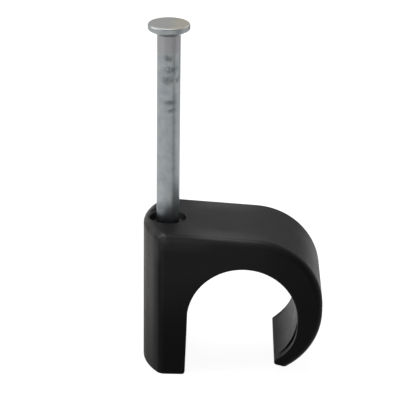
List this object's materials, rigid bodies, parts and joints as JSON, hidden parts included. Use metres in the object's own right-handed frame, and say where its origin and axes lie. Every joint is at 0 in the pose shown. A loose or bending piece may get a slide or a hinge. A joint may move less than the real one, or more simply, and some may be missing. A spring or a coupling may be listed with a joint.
{
  "type": "nail-in cable clip",
  "caption": "Moulded hook-shaped clip that holds a round cable against a wall, with the steel masonry nail that fixes it standing ready in its leg.",
  "frame": {"origin": "where the nail's axis meets the wall, in the plane of the foot", "axes": "+Z along the nail away from the wall, +X from the nail toward the hook, +Y along the cable"},
  "size_m": [0.0195, 0.0114, 0.0383],
  "materials": {
    "clip_plastic": "satin black, as moulded",
    "nail_steel": "dull zinc plating over drawn wire, with grip marks below the head"
  },
  "bodies": {
    "root": {"clip_body": "clip_plastic", "nail": "nail_steel"}
  },
  "joints": []
}
